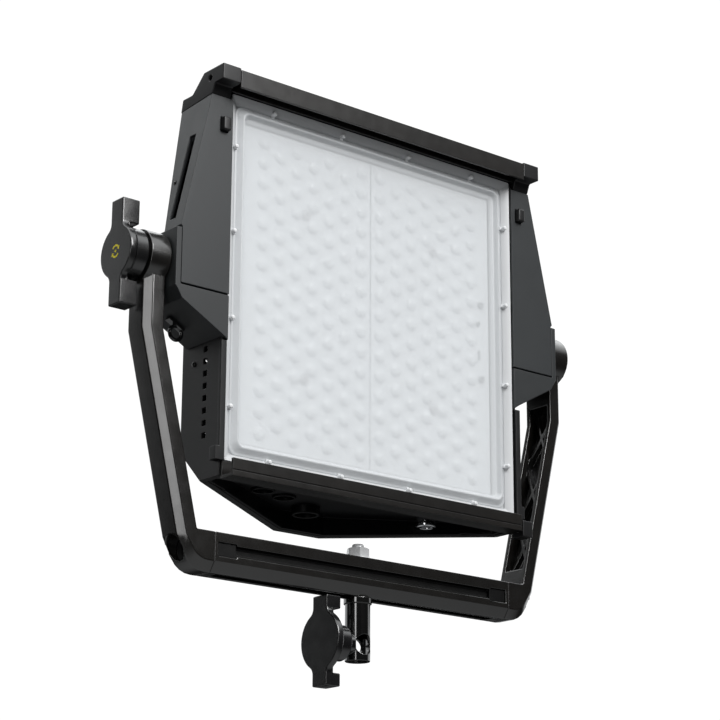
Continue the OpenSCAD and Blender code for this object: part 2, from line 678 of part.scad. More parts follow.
receiver_tube();
receiver_bolt();
receiver_washer();
receiver_nut();
clamp_pad();
clamp_screw();
clamp_knob();
yoke_beam();
yoke_arm_left();
yoke_arm_right();
corner_plugs();
friction_washers();
pivot_cap();
thrust_washer();
tilt_screw();
tilt_knob();
chassis();
face_plate();
front_cover();
cover_clips();
lens_array_left();
lens_array_right();
led_board();
array_screws();
heat_sink();
top_rail();
bottom_rail();
rail_end_stop();
end_cap_left();
end_cap_right();
wing_cover_left();
wing_cover_right();
pivot_bracket_left();
pivot_bracket_right();
pivot_shaft_left();
pivot_shaft_right();
safety_bail();
catch_left();
catch_right();
housing_screws();
rear_cover();
socket_tray();
power_inlet();
dc_inlet();
data_sockets();
power_supply();
control_board();
control_panel();
display_window();
encoder_1();
encoder_2();
encoder_3();
button_1();
button_2();
button_3();
power_rocker();
fan_left();
fan_right();
fan_rotor_left();
fan_rotor_right();
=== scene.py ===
"""Looks of the studio LED panel light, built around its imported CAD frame."""

import math

import bpy
import bmesh
from mathutils import Matrix, Vector


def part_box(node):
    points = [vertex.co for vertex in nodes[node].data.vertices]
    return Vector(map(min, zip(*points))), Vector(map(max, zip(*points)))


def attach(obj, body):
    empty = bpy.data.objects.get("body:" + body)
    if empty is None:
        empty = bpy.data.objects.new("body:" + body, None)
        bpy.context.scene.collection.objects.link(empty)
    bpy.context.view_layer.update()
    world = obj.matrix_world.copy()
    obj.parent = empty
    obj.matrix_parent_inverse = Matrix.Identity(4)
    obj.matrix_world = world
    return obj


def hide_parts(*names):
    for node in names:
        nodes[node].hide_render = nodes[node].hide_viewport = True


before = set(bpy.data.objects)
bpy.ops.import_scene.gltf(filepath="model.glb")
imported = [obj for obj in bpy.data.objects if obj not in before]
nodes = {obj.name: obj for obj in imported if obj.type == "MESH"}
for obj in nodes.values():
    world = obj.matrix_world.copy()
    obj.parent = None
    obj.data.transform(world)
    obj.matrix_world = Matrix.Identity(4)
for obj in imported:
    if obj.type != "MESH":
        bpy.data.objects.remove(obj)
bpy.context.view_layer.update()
scene = bpy.context.scene

MM = 0.001
HEAD = Vector((0, -26, 288))          # the middle of the face plate, in millimetres
TILT_Z = 291                          # height of the tilt axis
SPIGOT_Z = 13                         # height of the clamp screw's axis
BEAM_Z = 82                           # top of the yoke's beam
NONE = Vector((0, 0, 0))


# ---------------------------------------------------------------- camera, light and floor

def camera():
    """Looks up at the light's front from its lower left."""
    data = bpy.data.cameras.new("camera")
    data.sensor_width = 36
    data.lens = 108.94
    data.clip_end = 50
    obj = bpy.data.objects.new("camera", data)
    right, up = Vector((0.7724, -0.6351, 0.0045)), Vector((-0.1879, -0.2218, 0.9568))
    back = right.cross(up)
    turn = Matrix((right, up, back)).transposed().to_4x4()
    obj.matrix_world = Matrix.Translation((-1.0954, -1.3375, -0.2740)) @ turn
    scene.collection.objects.link(obj)
    scene.camera = obj


def area_light(name, direction, distance, size, power):
    """White soft box aimed at the middle of the light, in metres and watts."""
    data = bpy.data.lights.new(name, "AREA")
    data.shape = "RECTANGLE"
    data.size, data.size_y = size
    data.energy = power
    obj = bpy.data.objects.new(name, data)
    d = Vector(direction).normalized()
    obj.location = Vector((0, 0, 0.27)) + d * distance
    obj.rotation_euler = d.to_track_quat("Z", "Y").to_euler()
    scene.collection.objects.link(obj)


def sky():
    """White studio: bright above, softer below and behind the object, dark elsewhere."""
    world = bpy.data.worlds.new("studio")
    scene.world = world
    world.use_nodes = True
    tree = world.node_tree
    tree.nodes.clear()

    def node(kind, **values):
        n = tree.nodes.new(kind)
        for key, value in values.items():
            setattr(n, key, value)
        return n

    link = tree.links.new
    coords = node("ShaderNodeTexCoord")

    def band(axis, low, high, amount):
        """Rises smoothly to amount where a direction's part along axis goes from low to high."""
        dot = node("ShaderNodeVectorMath", operation="DOT_PRODUCT")
        dot.inputs[1].default_value = axis
        link(coords.outputs["Generated"], dot.inputs[0])
        ramp = node("ShaderNodeMapRange", interpolation_type="SMOOTHSTEP")
        ramp.inputs["From Min"].default_value = low
        ramp.inputs["From Max"].default_value = high
        ramp.inputs["To Min"].default_value = 0
        ramp.inputs["To Max"].default_value = amount
        link(dot.outputs["Value"], ramp.inputs["Value"])
        return ramp.outputs["Result"]

    def joined(operation, a, b):
        n = node("ShaderNodeMath", operation=operation)
        link(a, n.inputs[0])
        if isinstance(b, float):
            n.inputs[1].default_value = b
        else:
            link(b, n.inputs[1])
        return n.outputs[0]

    everywhere = 0.015

    overhead = band((0, 0, 1), 0.45, 0.75, 1.4)
    below = band((0, 0, -1), 0.36, 0.70, 0.28)
    behind = band((0.63, 0.77, 0), 0.20, 0.50, 1.0)
    backdrop = joined("MULTIPLY", behind, band((0, 0, 1), -0.15, 0.10, 1.0))
    total = joined("ADD", joined("ADD", joined("ADD", overhead, below), backdrop), everywhere)
    lit, seen = node("ShaderNodeBackground"), node("ShaderNodeBackground")
    lit.inputs["Color"].default_value = (0.97, 0.99, 1.0, 1)
    link(total, lit.inputs["Strength"])
    seen.inputs["Strength"].default_value = 1.05
    seen.inputs["Color"].default_value = (1, 1, 1, 1)
    rays, mix = node("ShaderNodeLightPath"), node("ShaderNodeMixShader")
    link(rays.outputs["Is Camera Ray"], mix.inputs["Fac"])
    link(lit.outputs[0], mix.inputs[1])
    link(seen.outputs[0], mix.inputs[2])
    link(mix.outputs[0], node("ShaderNodeOutputWorld").inputs["Surface"])


camera()
sky()
area_light("front_box", (0.10, -0.84, 0.54), 2.7, (1.3, 1.3), 62)
area_light("side_box", (-2.15, -1.37, 0.22), 2.56, (0.6, 1.9), 9)
scene.view_settings.view_transform = "Standard"


# ---------------------------------------------------------------- materials

ROUGH_DRIFT = 0.02                    # how far roughness drifts either way


def finish_of(name, colour, rough, metal=0.0, mottle=0.12, spots=14, grain=1500, bump=0.12, depth=0.15,
              ior=1.5, alpha=1.0, coat=0.0, streaks=None, warm=None):
    """Procedural surface: colour and roughness that drift, over a fine moulded or powder-coated grain.
    Spots and grain are noise scales, to the metre; depth is the relief in millimetres; streaks stretches
    the grain along one axis, as brushing does; warm is the tint that the lighter spots drift to."""
    m = bpy.data.materials.new(name)
    m.use_nodes = True
    tree = m.node_tree
    shader = tree.nodes["Principled BSDF"]
    link = tree.links.new

    def noise(scale, detail, stretch=None):
        n = tree.nodes.new("ShaderNodeTexNoise")
        n.inputs["Scale"].default_value = scale
        n.inputs["Detail"].default_value = detail
        source = coords.outputs["Object"]
        if stretch:
            mapping = tree.nodes.new("ShaderNodeMapping")
            mapping.inputs["Scale"].default_value = stretch
            link(source, mapping.inputs["Vector"])
            source = mapping.outputs["Vector"]
        link(source, n.inputs["Vector"])
        return n.outputs["Fac"]

    coords = tree.nodes.new("ShaderNodeTexCoord")
    mix = tree.nodes.new("ShaderNodeMix")
    mix.data_type = "RGBA"
    dark = [c * (1 - mottle) for c in colour]
    light = [min(1, c * (1 + mottle)) for c in (warm or colour)]
    mix.inputs["A"].default_value = (*dark, 1)
    mix.inputs["B"].default_value = (*light, 1)
    contrast = tree.nodes.new("ShaderNodeMapRange")
    contrast.inputs["From Min"].default_value = 0.3
    contrast.inputs["From Max"].default_value = 0.7
    link(noise(spots, 5), contrast.inputs["Value"])
    link(contrast.outputs["Result"], mix.inputs["Factor"])
    link(mix.outputs["Result"], shader.inputs["Base Color"])
    spread = tree.nodes.new("ShaderNodeMapRange")
    spread.inputs["From Min"].default_value = 0.3
    spread.inputs["From Max"].default_value = 0.7
    spread.inputs["To Min"].default_value = max(ROUGH_DRIFT, rough - ROUGH_DRIFT)
    spread.inputs["To Max"].default_value = min(1, rough + ROUGH_DRIFT)
    link(noise(spots * 7, 4), spread.inputs["Value"])
    link(spread.outputs["Result"], shader.inputs["Roughness"])
    relief = tree.nodes.new("ShaderNodeBump")
    relief.inputs["Strength"].default_value = bump
    relief.inputs["Distance"].default_value = depth * MM
    link(noise(grain, 3, streaks), relief.inputs["Height"])
    link(relief.outputs["Normal"], shader.inputs["Normal"])
    shader.inputs["Metallic"].default_value = metal
    shader.inputs["IOR"].default_value = ior
    shader.inputs["Alpha"].default_value = alpha
    shader.inputs["Coat Weight"].default_value = coat
    shader.inputs["Coat Roughness"].default_value = 0.15
    return m


LOOKS = {
    "black_metal": finish_of("black_metal", (0.005, 0.005, 0.005), 0.11, ior=2.3, grain=600, bump=0.005,
                             mottle=0.05),
    "zinc_steel": finish_of("zinc_steel", (0.88, 0.89, 0.90), 0.28, metal=0.3, mottle=0.05, grain=900, bump=0.03),
    "brass": finish_of("brass", (0.75, 0.66, 0.40), 0.25, metal=1, grain=1200, bump=0.05, streaks=(1, 6, 6)),
    "knob_plastic": finish_of("knob_plastic", (0.0080, 0.0080, 0.0085), 0.21, grain=2200, bump=0.02, ior=2.0,
                              mottle=0.05),
    "yoke_alloy": finish_of("yoke_alloy", (0.0080, 0.0074, 0.0068), 0.22, grain=1500, bump=0.02, ior=2.1, mottle=0.06,
                            warm=(0.0100, 0.0088, 0.0076)),
    "plug_rubber": finish_of("plug_rubber", (0.003, 0.003, 0.003), 0.35, grain=900, bump=0.05),
    "fibre": finish_of("fibre", (0.20, 0.18, 0.15), 0.85, mottle=0.3, spots=300, grain=2500, bump=0.4),
    "washer_plastic": finish_of("washer_plastic", (0.003, 0.003, 0.003), 0.3, bump=0.05),
    "housing": finish_of("housing", (0.0065, 0.0065, 0.007), 0.42, grain=1700, bump=0.16),
    "face_white": finish_of("face_white", (0.60, 0.61, 0.62), 0.35, mottle=0.02, grain=1800, bump=0.05),
    "frosted_cover": finish_of("frosted_cover", (0.84, 0.865, 0.885), 0.34, mottle=0.012, spots=8, grain=2600,
                               bump=0.03, alpha=0.57),
    "clip_metal": finish_of("clip_metal", (0.80, 0.81, 0.82), 0.3, mottle=0.03, grain=1500, bump=0.04),
    "lens_plastic": finish_of("lens_plastic", (0.88, 0.90, 0.915), 0.16, mottle=0.015, grain=800, bump=0.03),
    "board_white": finish_of("board_white", (0.75, 0.77, 0.76), 0.5, mottle=0.03),
    "sink_alloy": finish_of("sink_alloy", (0.55, 0.56, 0.58), 0.35, metal=1, streaks=(8, 8, 0.4)),
    "rail_alloy": finish_of("rail_alloy", (0.0085, 0.0078, 0.0072), 0.30, ior=1.7, grain=1200, bump=0.05, mottle=0.06,
                            streaks=(0.15, 4, 4), warm=(0.0110, 0.0096, 0.0084)),
    "end_plastic": finish_of("end_plastic", (0.0075, 0.0075, 0.008), 0.38, grain=1900, bump=0.15),
    "wing_plastic": finish_of("wing_plastic", (0.027, 0.030, 0.032), 0.46, mottle=0.08, spots=9, grain=1900,
                              bump=0.30, depth=0.2),
    "bracket_alloy": finish_of("bracket_alloy", (0.024, 0.0265, 0.028), 0.46, mottle=0.05, grain=1900, bump=0.12),
    "black_screw": finish_of("black_screw", (0.05, 0.05, 0.05), 0.3, metal=0.6, grain=800, bump=0.05),
    "rear_plastic": finish_of("rear_plastic", (0.010, 0.010, 0.0105), 0.44, spots=9, grain=1700, bump=0.25),
    "tray_plastic": finish_of("tray_plastic", (0.0022, 0.0025, 0.0034), 0.34, grain=1500, bump=0.05, ior=1.4),
    "socket_black": finish_of("socket_black", (0.0016, 0.0018, 0.0026), 0.42, grain=1200, bump=0.04, ior=1.3),
    "bright_chrome": finish_of("bright_chrome", (0.78, 0.79, 0.81), 0.10, metal=1, mottle=0.04, grain=700, bump=0.02),
    "board_green": finish_of("board_green", (0.02, 0.12, 0.05), 0.4, mottle=0.15, spots=80),
    "panel_plastic": finish_of("panel_plastic", (0.008, 0.008, 0.009), 0.35, grain=2200, bump=0.12),
    "display_glass": finish_of("display_glass", (0.010, 0.014, 0.02), 0.06, mottle=0.05, grain=200, bump=0.01,
                               coat=0.6),
    "encoder_rubber": finish_of("encoder_rubber", (0.008, 0.008, 0.008), 0.55, grain=1800, bump=0.15),
    "button_plastic": finish_of("button_plastic", (0.16, 0.165, 0.17), 0.3, grain=1500, bump=0.05),
    "rocker_red": finish_of("rocker_red", (0.35, 0.015, 0.012), 0.22, mottle=0.05, grain=900, bump=0.03),
    "fan_plastic": finish_of("fan_plastic", (0.006, 0.006, 0.006), 0.4, grain=1500, bump=0.1),
}
GOLD = finish_of("contact_gold", (0.80, 0.58, 0.25), 0.2, metal=1, mottle=0.05, grain=700, bump=0.03)
YELLOW = finish_of("print_yellow", (0.85, 0.72, 0.01), 0.45, mottle=0.04, spots=200, grain=2500, bump=0.05)
WHITE_PRINT = finish_of("print_white", (0.55, 0.56, 0.57), 0.5, mottle=0.04, spots=200, grain=2500, bump=0.05)
# Near-black paint for screw drives and clip slits: painted shade in these small recesses
RECESS_SHADE = finish_of("recess_painted_shade", (0.004, 0.004, 0.004), 0.7, bump=0.05)
# Greyer white for the lenslets' feet and rims: painted shade round each dome
LENS_RIM_SHADE = finish_of("lens_rim_shade", (0.76, 0.78, 0.79), 0.3, mottle=0.02, grain=800, bump=0.02)
SENSOR = finish_of("sensor_grey", (0.42, 0.44, 0.45), 0.4, mottle=0.06, spots=200)
SCREW_WHITE = finish_of("screw_white", (0.74, 0.75, 0.76), 0.42, mottle=0.04, spots=200)


# ---------------------------------------------------------------- mesh tools

def soften(obj, width, angle=28, segments=2):
    """Rounded edges: welds the surface, joins flat areas, bevels what is sharp and weights the normals."""
    weld = obj.modifiers.new("weld", "WELD")
    weld.merge_threshold = 0.00002
    flat = obj.modifiers.new("flat", "DECIMATE")
    flat.decimate_type = "DISSOLVE"
    flat.angle_limit = math.radians(1.0)
    bevel = obj.modifiers.new("bevel", "BEVEL")
    bevel.width = width * MM
    bevel.segments = segments
    bevel.limit_method = "ANGLE"
    bevel.angle_limit = math.radians(angle)
    bevel.use_clamp_overlap = False
    bevel.miter_outer = "MITER_ARC"
    weight = obj.modifiers.new("weight", "WEIGHTED_NORMAL")
    weight.keep_sharp = False
    weight.weight = 60


BASES = {
    "X": ((0, 1, 0), (0, 0, 1), (1, 0, 0)), "-X": ((0, 0, 1), (0, 1, 0), (-1, 0, 0)),
    "Y": ((0, 0, 1), (1, 0, 0), (0, 1, 0)), "-Y": ((1, 0, 0), (0, 0, 1), (0, -1, 0)),
    "Z": ((1, 0, 0), (0, 1, 0), (0, 0, 1)), "-Z": ((0, 1, 0), (1, 0, 0), (0, 0, -1)),
}


def basis(axis):
    """Turns a shape's own third axis to the named axis."""
    u, v, w = BASES[axis]
    return Matrix((u, v, w)).transposed()


class Shape:
    """Collects closed surfaces in millimetres and turns them into one piece."""

    def __init__(self):
        self.verts, self.faces, self.slots = [], [], []

    def add(self, verts, faces, slot=0):
        """Takes in one surface, whose faces count from its own first vertex."""
        start = len(self.verts)
        self.verts += [Vector(v) for v in verts]
        self.faces += [[start + i for i in f] for f in faces]
        self.slots += [slot] * len(faces)
        return self

    def lathe(self, profile, at=NONE, axis="Z", n=48, shape=None, slot=0, turn=0.0):
        """Revolves (radius, height) pairs about an axis through at; shape(angle, r, h) may bend them."""
        m = basis(axis)
        rings, verts, faces = [], [], []
        for r, h in profile:
            ring = []
            for i in range(1 if r == 0 else n):
                a = 2 * math.pi * i / n + turn
                rr, hh = shape(a, r, h) if shape and r > 0 else (r, h)
                ring.append(len(verts))
                verts.append(Vector(at) + m @ Vector((rr * math.cos(a), rr * math.sin(a), hh)))
            rings.append(ring)
        for low, high in zip(rings, rings[1:]):
            for i in range(n):
                j = (i + 1) % n
                if len(low) == 1 and len(high) == 1:
                    continue
                if len(low) == 1:
                    faces.append((low[0], high[j], high[i]))
                elif len(high) == 1:
                    faces.append((low[i], low[j], high[0]))
                else:
                    faces.append((low[i], low[j], high[j], high[i]))
        return self.add(verts, faces, slot)

    def prism(self, outline, low, high, at=NONE, axis="Z", slot=0, turn=0.0):
        """Extrudes an outline from one height to another along an axis."""
        m = basis(axis)
        n = len(outline)
        c, s = math.cos(turn), math.sin(turn)
        spun = [(x * c - y * s, x * s + y * c) for x, y in outline]
        verts = [Vector(at) + m @ Vector((x, y, h)) for h in (low, high) for x, y in spun]
        faces = [tuple(range(n - 1, -1, -1)), tuple(range(n, 2 * n))]
        faces += [(i, (i + 1) % n, n + (i + 1) % n, n + i) for i in range(n)]
        return self.add(verts, faces, slot)

    def loft(self, loops, cap_first=False, cap_last=False, slot=0):
        """Joins loops of equal length into one skin."""
        n = len(loops[0])
        verts = [v for loop in loops for v in loop]
        faces = [(k * n + i, k * n + (i + 1) % n, (k + 1) * n + (i + 1) % n, (k + 1) * n + i)
                 for k in range(len(loops) - 1) for i in range(n)]
        if cap_first:
            faces.append(tuple(range(n - 1, -1, -1)))
        if cap_last:
            faces.append(tuple(range((len(loops) - 1) * n, len(loops) * n)))
        return self.add(verts, faces, slot)

    def mesh(self, name, outward=True):
        """Blender mesh in metres; outward turns every normal out of its own closed surface."""
        m = bpy.data.meshes.new(name)
        m.from_pydata([v * MM for v in self.verts], [], self.faces)
        m.polygons.foreach_set("material_index", self.slots)
        m.polygons.foreach_set("use_smooth", [True] * len(m.polygons))
        if outward:
            b = bmesh.new()
            b.from_mesh(m)
            bmesh.ops.recalc_face_normals(b, faces=b.faces)
            b.to_mesh(m)
            b.free()
        m.update()
        return m


def piece(name, shape, body, look, stands_for=(), extra=(), bevel=None, sharp=32, outward=True):
    """Makes the piece, gives it its materials, and lets it ride on a CAD body in place of CAD nodes."""
    data = shape if isinstance(shape, bpy.types.Mesh) else shape.mesh(name, outward)
    obj = bpy.data.objects.new(name, data)
    scene.collection.objects.link(obj)
    data.materials.clear()
    data.materials.append(LOOKS[look])
    for m in extra:
        data.materials.append(m)
    if bevel:
        soften(obj, bevel)
    else:
        data.set_sharp_from_angle(angle=math.radians(sharp))
    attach(obj, body)
    if stands_for:
        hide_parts(*stands_for)
    return obj


def combine(base, steps, name):
    """Boolean unions and differences of Shapes, returned as one mesh."""
    obj = bpy.data.objects.new(name, base.mesh(name))
    scene.collection.objects.link(obj)
    tools = []
    for operation, tool in steps:
        t = bpy.data.objects.new(name + "_tool", tool.mesh(name + "_tool"))
        scene.collection.objects.link(t)
        mod = obj.modifiers.new(operation, "BOOLEAN")
        mod.operation = operation
        mod.solver = "EXACT"
        mod.object = t
        tools.append(t)
    bpy.context.view_layer.update()
    result = bpy.data.meshes.new_from_object(obj.evaluated_get(bpy.context.evaluated_depsgraph_get()))
    for o in [obj] + tools:
        bpy.data.objects.remove(o)
    return result


def arc(cx, cy, r, a0, a1, steps):
    """Points of an arc, angles in degrees."""
    return [(cx + r * math.cos(math.radians(a0 + (a1 - a0) * i / steps)),
             cy + r * math.sin(math.radians(a0 + (a1 - a0) * i / steps))) for i in range(steps + 1)]


def rounded(half_w, half_h, r, steps=8):
    """Outline of a rectangle with round corners."""
    out = []
    for sx, sy, a in ((1, 1, 0), (-1, 1, 90), (-1, -1, 180), (1, -1, 270)):
        out += arc(sx * (half_w - r), sy * (half_h - r), r, a, a + 90, steps)
    return out


# ---------------------------------------------------------------- carried-over CAD nodes

# Each CAD node's look comes from its record slot; the edge width is in millimetres
EDGE = {
    "receiver_tube": 0.5, "receiver_washer": 0.25, "clamp_pad": 0.6, "yoke_beam": 0.7, "yoke_arm_left": 0.8,
    "yoke_arm_right": 0.8, "corner_plugs": 0.9, "friction_washers": 0.1, "pivot_cap": 0.8, "thrust_washer": 0.4,
    "chassis": 0.45, "top_rail": 0.35, "bottom_rail": 0.22, "rail_end_stop": 0.6,
    "end_cap_left": 0.9, "end_cap_right": 0.9, "wing_cover_left": 0.5, "wing_cover_right": 0.5,
    "pivot_bracket_left": 0.6, "pivot_bracket_right": 0.6, "pivot_shaft_left": 0.5, "pivot_shaft_right": 0.5,
    "catch_left": 1.3, "catch_right": 1.3, "rear_cover": 0.6, "socket_tray": 0.5, "power_supply": 0.8,
    "control_board": 0.2, "control_panel": 0.5, "power_rocker": 0.5, "fan_left": 0.5, "fan_right": 0.5,
}
for name, obj in nodes.items():
    for s in obj.material_slots:
        slot_name = s.material.name.split(".")[0] if s.material else ""
        if slot_name in LOOKS:
            s.material = LOOKS[slot_name]
    if name in EDGE:
        soften(obj, EDGE[name])


# ---------------------------------------------------------------- near-black strip in the beam's groove, painted shade

def groove_shade_strip():
    """Near-black strip in the beam's front groove, painted shade for the groove's dark inside, with a shallow channel
    along it and a plate at each end.
    """
    top, low, deep = BEAM_Z - 9.25, BEAM_Z - 16.75, -10.15
    section = [(deep, low), (deep - 1.6, low), (deep - 1.6, low + 1.3), (deep - 0.5, low + 2.0),
               (deep - 0.5, top - 2.0), (deep - 1.6, top - 1.3), (deep - 1.6, top), (deep, top)]
    half, plate_mid = 148.7, 140
    loops = [[Vector((x, y, z)) for y, z in section] for x in (-half, half)]
    strip = Shape().loft(loops, True, True)
    plate = rounded(8.6, 5.2, 0.8, 3)
    for s in (-1, 1):
        strip.prism([(x + s * plate_mid, z) for x, z in plate], 12.1, 13.4, Vector((0, 0, (top + low) / 2)), "-Y")
    # The strip's near-black rubber is painted shade where the groove is dark
    piece("groove_shade_strip", strip, "yoke", "plug_rubber", bevel=0.15)


groove_shade_strip()


# ---------------------------------------------------------------- knobs

def bar_outline(disc, half_w, half_l, fillet):
    """Disc with a bar across it, joined by hollow fillets; the bar lies along the outline's second axis."""
    cz = math.sqrt((disc + fillet) ** 2 - (half_w + fillet) ** 2)
    phi = math.degrees(math.atan2(cz, half_w + fillet))
    quarter = [(half_w, half_l)] + arc(half_w + fillet, cz, fillet, 180, 180 + phi, 6)
    quarter += arc(0, 0, disc, phi, 0, 14)[1:]
    mirror = [(x, -y) for x, y in reversed(quarter)][1:]
    right = quarter + mirror
    return right + [(-x, -y) for x, y in right][:-1] + [(-half_w, half_l)]


def knob(node, face, disc, half_w, half_l, block_t, hub, bores):
    """Bar knob on an axis along X: disc, thicker bar ends and a hub, as (radius, far x), less its bores,
    as (radius, starting x, sides)."""
    inset, disc_t, hub_from, through, fillet = 0.15, 6, 5, 60, 7
    at = face + Vector((inset, 0, 0))
    base = Shape().prism(bar_outline(disc, half_w, half_l, fillet), 0, disc_t, at, "X")
    inner = disc + 1.5
    steps = []
    for s in (-1, 1):
        ends = [(-half_w, s * inner), (half_w, s * inner), (half_w, s * half_l), (-half_w, s * half_l)]
        steps.append(("UNION", Shape().prism(ends, 0, block_t - inset, at, "X")))
    hub_r, end = hub[0], hub[1] - at.x
    steps.append(("UNION", Shape().lathe([(0, hub_from), (hub_r, hub_from), (hub_r, end), (0, end)], at, "X", 72)))
    for r, start_x, sides in bores:
        start = start_x - at.x
        bore = [(0, start), (r, start), (r, through), (0, through)]
        steps.append(("DIFFERENCE", Shape().lathe(bore, at, "X", sides)))
    name = node + "_body"
    piece(name, combine(base, steps, name), node, "knob_plastic", (node,), bevel=1.1)


TILT_FACE = Vector((-242, 0, TILT_Z))
knob("tilt_knob", TILT_FACE, 21.5, 8.1, 43, 16, (20.8, -224.4), [(4.0, -232, 32)])
knob("clamp_knob", Vector((-39, 0, SPIGOT_Z)), 24, 9, 36, 14.6, (14.5, -16.5), [(4.8, -32, 32), (8.9, -23.5, 48)])


def turn_arrow():
    """Small printed arc with an arrow head at each end, on the tilt knob's face."""
    out = Shape()
    r, t, wing, ink, dot = 4.6, 0.75, 2.1, 0.12, 1.1
    at = TILT_FACE + Vector((0.06, 0, 0))
    for start, stop in ((35, 145), (215, 325)):
        outer, inner = arc(0, 0, r + t, start, stop, 16), arc(0, 0, r - t, stop, start, 16)
        out.prism(outer + inner, 0, ink, at, "X")
        a = math.radians(stop)
        tip = math.radians(stop + 26)
        head = [((r + wing) * math.cos(a), (r + wing) * math.sin(a)), (r * math.cos(tip), r * math.sin(tip)),
                ((r - wing) * math.cos(a), (r - wing) * math.sin(a))]
        out.prism(head, 0, ink, at, "X")
    out.lathe([(0, 0), (dot, 0), (dot, ink), (0, ink)], at, "X", 24)
    obj = piece("turn_arrow", out, "tilt_knob", "knob_plastic")
    obj.data.materials[0] = YELLOW


turn_arrow()


# ---------------------------------------------------------------- fasteners

def threaded(shape, r, low, high, pitch, depth=0.45):
    """Upright rod with a real helical thread, chamfered at its upper end."""
    steps = max(8, int((high - low) / pitch * 6))
    profile = [(0, low)] + [(r, low + (high - low) * i / steps) for i in range(steps + 1)] + [(0, high)]

    def wave(a, rr, h):
        turn = (h / pitch - a / (2 * math.pi)) % 1
        cut = depth * (1 - abs(2 * turn - 1) * 1.6) if abs(2 * turn - 1) < 0.62 else 0
        edge = max(0, 1.2 - (high - h)) * 0.7
        return rr - max(cut, edge), h

    return shape.lathe(profile, n=40, shape=wave)


def hex_nut(shape, apothem, bore, low, high):
    """Upright hexagon nut with its corners turned down at both faces and a chamfered bore."""
    crown = apothem * 0.97

    def six(a, r, h):
        local = (a % (math.pi / 3)) - math.pi / 6
        out = apothem / math.cos(local)
        if r < apothem * 0.96:
            return r, h
        if abs(r - crown) < 1e-6:
            return crown, h
        drop = max(0, out - crown) * 0.55
        return out, h + (drop if h < (low + high) / 2 else -drop)

    ring = [(bore, low + 0.6), (bore + 0.6, low), (crown, low), (apothem, low), (apothem, high), (crown, high),
            (bore + 0.6, high), (bore, high - 0.6), (bore, low + 0.6)]
    return shape.lathe(ring, n=72, shape=six)


nut_low, nut_high = (v.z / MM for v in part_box("receiver_nut"))
bolt_low, bolt_high = (v.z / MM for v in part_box("receiver_bolt"))
piece("receiver_nut_hex", hex_nut(Shape(), 8.45, 4.9, nut_low, nut_high), "receiver", "zinc_steel",
      ("receiver_nut",), sharp=40)
piece("receiver_bolt_thread", threaded(Shape(), 4.98, bolt_low, bolt_high, 1.5), "receiver", "zinc_steel",
      ("receiver_bolt",), sharp=50)


def cap_screw(shape, r, at, axis, low, high, recess="hex", shank=None):
    """Domed screw head with a recessed drive; low is its seat and high its top; shank is (far end, radius)."""
    height = high - low
    crown = [(r, low), (r, low + height * 0.45)]
    for a in (20, 45, 70, 90):
        edge, rise = math.cos(math.radians(a)), math.sin(math.radians(a))
        crown.append((r * edge * 0.12 + r * 0.88, low + height * (0.45 + 0.45 * rise)))
    floor = high - height * 0.75
    shape.lathe([(0, low)] + crown + [(r * 0.5, high)], at, axis, 40)
    shape.lathe([(r * 0.5, high), (r * 0.46, floor), (0, floor)], at, axis, 6 if recess == "hex" else 40, slot=1)
    if recess == "slot":
        shape.prism([(-r * 0.75, -r * 0.13), (r * 0.75, -r * 0.13), (r * 0.75, r * 0.13), (-r * 0.75, r * 0.13)],
                    high - height * 0.3, high + 0.02, at, axis, slot=1, turn=0.6)
    if shank:
        shape.lathe([(0, shank[0]), (shank[1], shank[0]), (shank[1], low + 0.1), (0, low + 0.1)], at, axis, 24)
    return shape


screws = Shape()
for s in (-1, 1):
    side_axis = "X" if s > 0 else "-X"
    cap_screw(screws, 2.3, HEAD + Vector((0, 4, 160)), side_axis, 168.1, 170.5)
    cap_screw(screws, 1.9, HEAD + Vector((0, 25, 72)), side_axis, 187.5, 190)
    cap_screw(screws, 2.2, HEAD + Vector((0, 40, -68)), side_axis, 155.9, 157)
piece("housing_screw_heads", screws, "head", "black_screw", ("housing_screws",), (RECESS_SHADE,), outward=False)


# ---------------------------------------------------------------- front: cover, clips, lenses

def square_loop(half, y, r, steps=8):
    return [HEAD + Vector((x, y, z)) for x, z in rounded(half, half, r, steps)]


def front_cover():
    """Frosted sheet with a raised rounded bead running round it."""
    path = [(145.1, 8.3, 8.0), (145.1, 7.1, 8.0), (144.9, 6.9, 7.9), (143.9, 6.9, 7.6), (143.2, 6.7, 7.4),
            (142.6, 6.1, 7.2), (140.7, 4.1, 6.6), (140.1, 3.4, 6.4), (139.6, 3.0, 6.2), (139.0, 2.85, 6.0),
            (138.5, 3.0, 5.9), (138.1, 3.4, 5.8), (137.0, 5.4, 5.4), (136.5, 6.3, 5.2), (136.0, 6.75, 5.0),
            (135.3, 6.9, 4.8)]
    loops = [square_loop(h, y, r) for h, y, r in path]
    sheet = Shape().loft(loops, cap_last=True)
    piece("front_cover_sheet", sheet, "head", "frosted_cover", ("front_cover",), sharp=60)


front_cover()


def face_plate():
    """White frame with a sloped well round the cover's edge."""
    path = [(151.8, 11, 1.2), (151.8, 2.7, 1.2), (151.65, 2.5, 1.1), (151.35, 2.55, 1.0), (145.6, 6.6, 1.4),
            (145.35, 6.95, 1.6), (145.3, 8.55, 1.6), (134.2, 8.6, 1.2), (134, 8.8, 1.1), (134, 11, 1.0)]
    loops = [square_loop(h, y, r, 4) for h, y, r in path]
    loops.append(loops[0])
    piece("face_frame", Shape().loft(loops), "head", "face_white", ("face_plate",), sharp=30)


face_plate()


